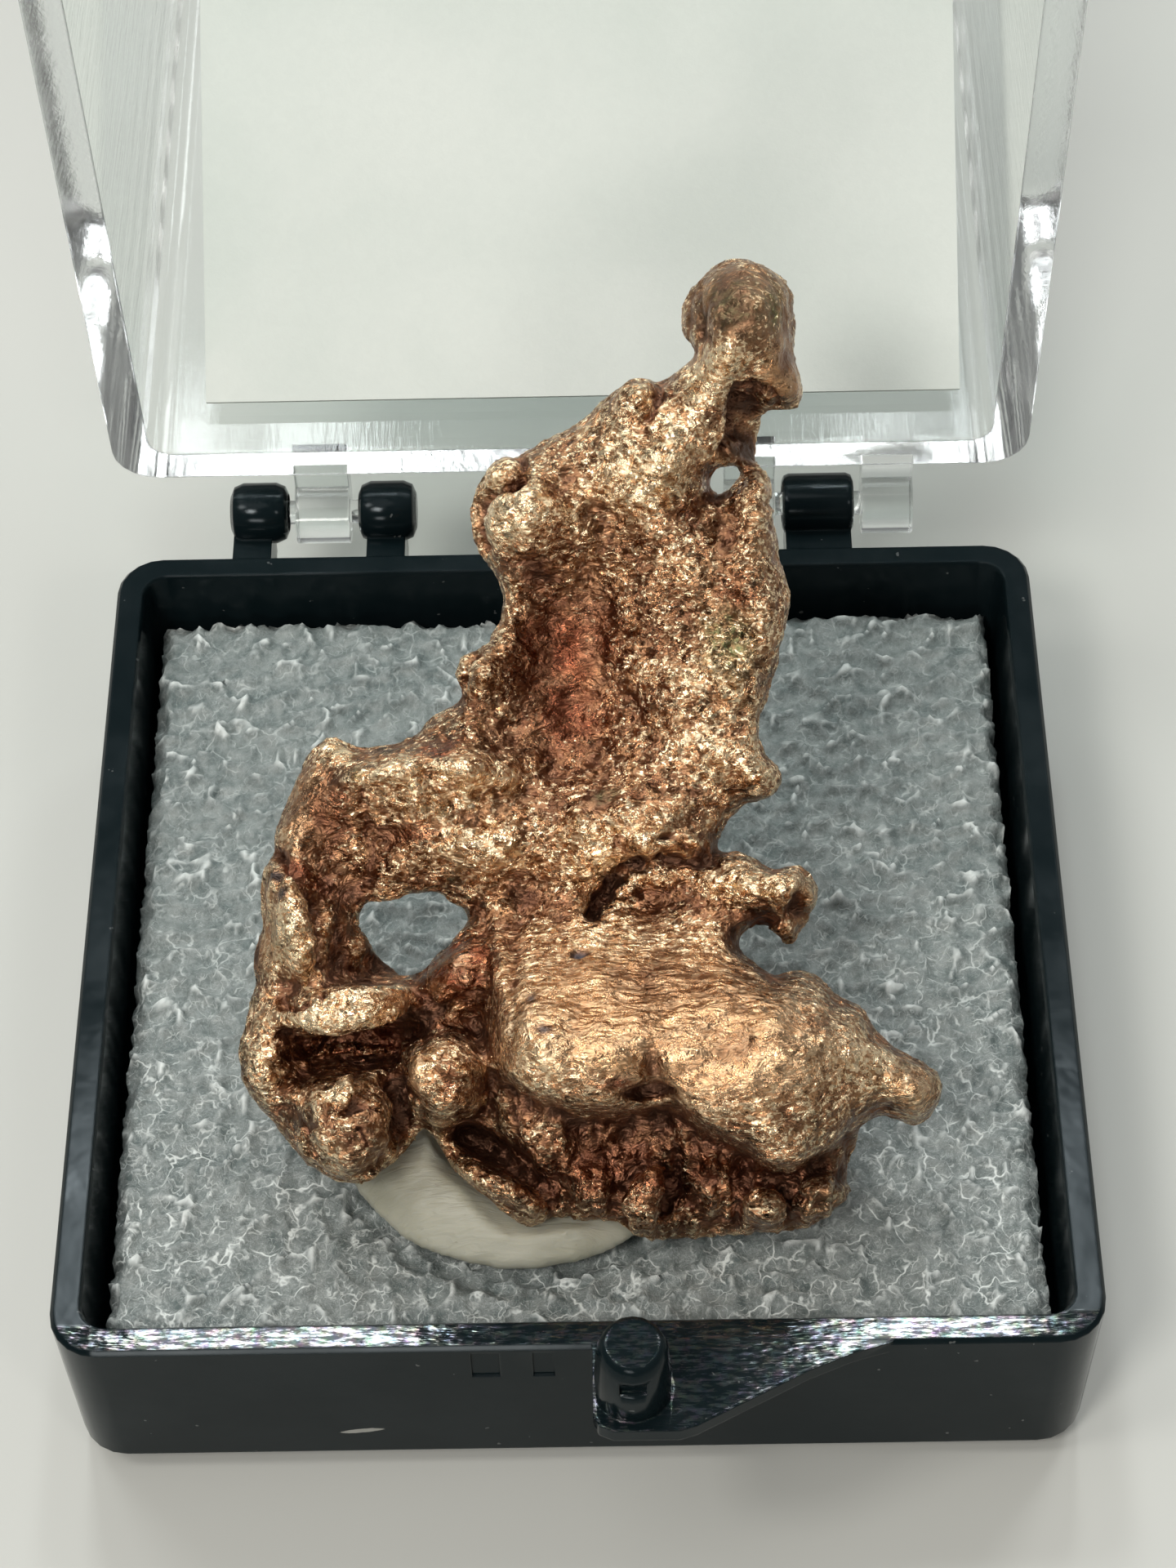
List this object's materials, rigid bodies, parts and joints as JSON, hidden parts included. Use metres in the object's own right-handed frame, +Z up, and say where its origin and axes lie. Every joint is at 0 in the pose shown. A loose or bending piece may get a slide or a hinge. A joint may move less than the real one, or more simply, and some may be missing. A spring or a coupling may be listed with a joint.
{
  "type": "boxed native copper specimen",
  "caption": "Rough natural copper sheet with lumps, a hook and pierced gaps, set in putty on foam in a small hinged box with a clear lid and a blank label card.",
  "frame": {"origin": "centre of the box's flat bottom", "axes": "+Z up, +X along the hinge, to the right as the latch faces the viewer, +Y from the latch to the hinge"},
  "size_m": [0.0318, 0.0601, 0.0449],
  "materials": {
    "black_plastic": "gloss",
    "clear_plastic": "polished",
    "label_paper": "matte",
    "foam": "matte",
    "putty": "satin",
    "copper": "satin"
  },
  "bodies": {
    "base": {"box_base": "black_plastic", "foam_pad": "foam", "putty": "putty", "native_copper": "copper"},
    "lid": {"lid": "clear_plastic", "label_card": "label_paper"}
  },
  "joints": [
    {"name": "lid_hinge", "type": "hinge", "parent": "base", "child": "lid", "pos_m": [0, 0.0178, 0.0077], "axis": [1, 0, 0], "range_deg": [0, 84], "deforming": ["label_card"]}
  ]
}
